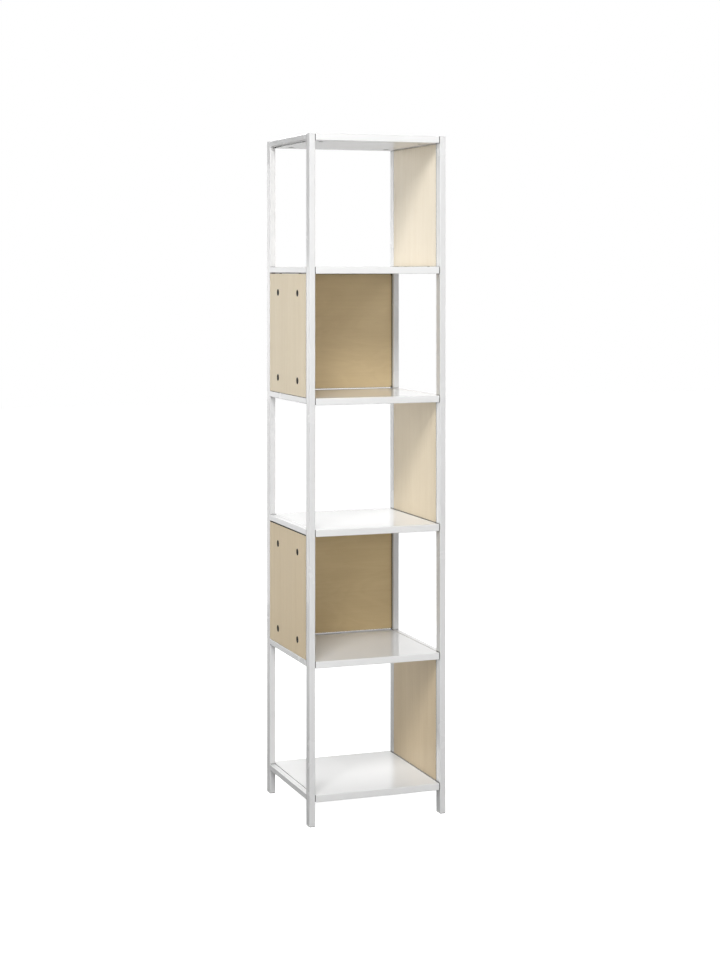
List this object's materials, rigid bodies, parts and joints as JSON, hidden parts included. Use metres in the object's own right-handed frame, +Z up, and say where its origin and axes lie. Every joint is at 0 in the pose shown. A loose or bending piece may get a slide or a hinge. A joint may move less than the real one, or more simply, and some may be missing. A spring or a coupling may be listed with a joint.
{
  "type": "spine bookshelf",
  "caption": "Tall narrow open bookshelf: two ladder-like tube frames carry glossy shelf boards, with wood panels on alternating sides and at the back of some bays.",
  "frame": {"origin": "on the floor, in the middle of the footprint", "axes": "+X to the right as seen from the front, +Y to the rear, +Z up"},
  "size_m": [0.382, 0.37, 1.8],
  "materials": {
    "frame_paint": "gloss white powder coat",
    "shelf_lacquer": "high-gloss white lacquer on board",
    "side_veneer": "satin clear lacquer on pale birch veneer, upright grain",
    "back_veneer": "satin clear lacquer on pale birch veneer, level grain",
    "plastic": "smooth off-white",
    "cam_metal": "dull zinc",
    "bar_steel": "zinc plated"
  },
  "bodies": {
    "root": {"back_panel_2": "back_veneer", "back_panel_4": "back_veneer", "back_panel_pegs": "bar_steel", "left_front_foot": "plastic", "left_front_post": "frame_paint", "left_front_top_plug": "plastic", "left_panel_2": "side_veneer", "left_panel_4": "side_veneer", "left_rail_1": "frame_paint", "left_rail_2": "frame_paint", "left_rail_3": "frame_paint", "left_rail_4": "frame_paint", "left_rail_5": "frame_paint", "left_rail_6": "frame_paint", "left_rear_foot": "plastic", "left_rear_post": "frame_paint", "left_rear_top_plug": "plastic", "right_front_foot": "plastic", "right_front_post": "frame_paint", "right_front_top_plug": "plastic", "right_panel_1": "side_veneer", "right_panel_3": "side_veneer", "right_panel_5": "side_veneer", "right_rail_1": "frame_paint", "right_rail_2": "frame_paint", "right_rail_3": "frame_paint", "right_rail_4": "frame_paint", "right_rail_5": "frame_paint", "right_rail_6": "frame_paint", "right_rear_foot": "plastic", "right_rear_post": "frame_paint", "right_rear_top_plug": "plastic", "shelf_1": "shelf_lacquer", "shelf_2": "shelf_lacquer", "shelf_3": "shelf_lacquer", "shelf_4": "shelf_lacquer", "shelf_5": "shelf_lacquer", "shelf_6": "shelf_lacquer", "shelf_cam_locks": "cam_metal", "shelf_studs": "bar_steel", "side_panel_bolts": "bar_steel", "side_panel_cam_locks": "cam_metal"}
  },
  "joints": []
}
